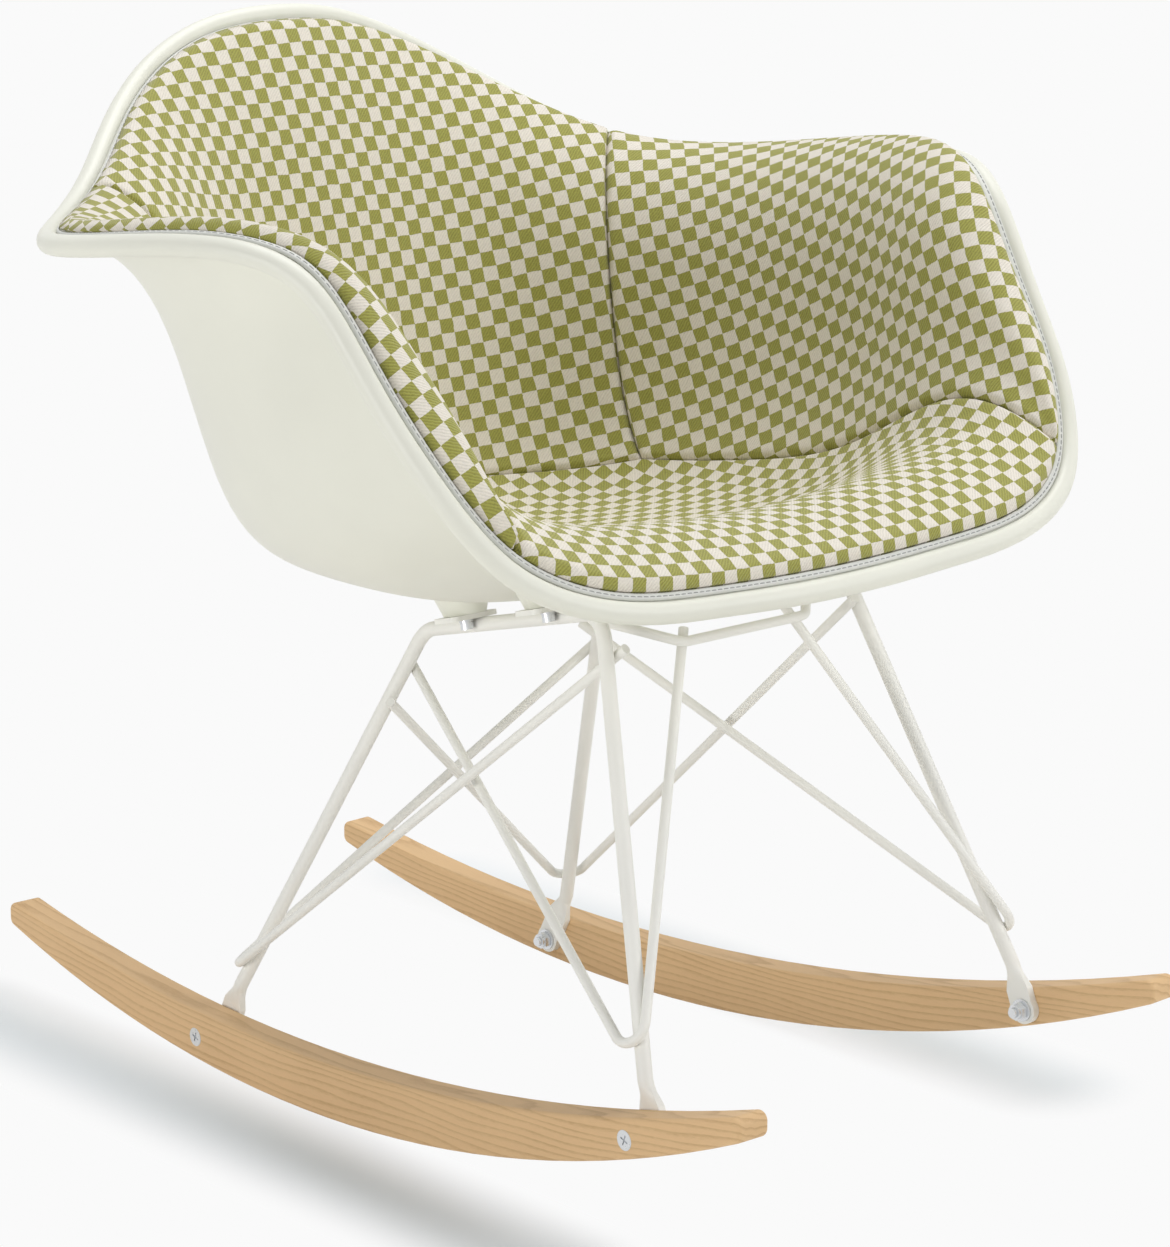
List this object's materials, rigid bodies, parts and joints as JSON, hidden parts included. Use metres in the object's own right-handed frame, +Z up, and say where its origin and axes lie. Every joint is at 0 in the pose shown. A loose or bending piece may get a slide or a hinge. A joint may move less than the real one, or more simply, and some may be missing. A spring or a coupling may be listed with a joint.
{
  "type": "rocking chair",
  "caption": "Rocking armchair: moulded bucket shell with a check padded lining on a white welded wire base that is screwed to two bent wooden rockers.",
  "frame": {"origin": "on the floor, under the middle of the chair's overall length and width", "axes": "+X to the sitter's left, the sitter faces -Y, +Z up"},
  "size_m": [0.6274, 0.7362, 0.6546],
  "materials": {
    "shell_plastic": "satin",
    "edge_vinyl": "satin",
    "check_fabric": "woven",
    "white_metal": "satin",
    "zinc": "zinc plated",
    "ash": "oiled"
  },
  "bodies": {
    "root": {"shell": "shell_plastic", "threaded_inserts": "zinc", "pad_seat": "check_fabric", "pad_back": "check_fabric", "pad_arm_left": "check_fabric", "pad_arm_right": "check_fabric", "edge_trim": "edge_vinyl", "side_rod_left": "white_metal", "side_rod_right": "white_metal", "crossbar_front": "white_metal", "brace_front_left": "white_metal", "brace_front_right": "white_metal", "brace_rear_left": "white_metal", "brace_rear_right": "white_metal", "mount_plate_front_left": "white_metal", "mount_plate_front_right": "white_metal", "mount_plate_rear_left": "white_metal", "mount_plate_rear_right": "white_metal", "mount_bolts": "zinc", "mount_washers": "zinc", "rocker_left": "ash", "rocker_right": "ash", "rocker_screws": "zinc", "rocker_washers": "zinc", "rocker_nuts": "zinc"}
  },
  "joints": []
}
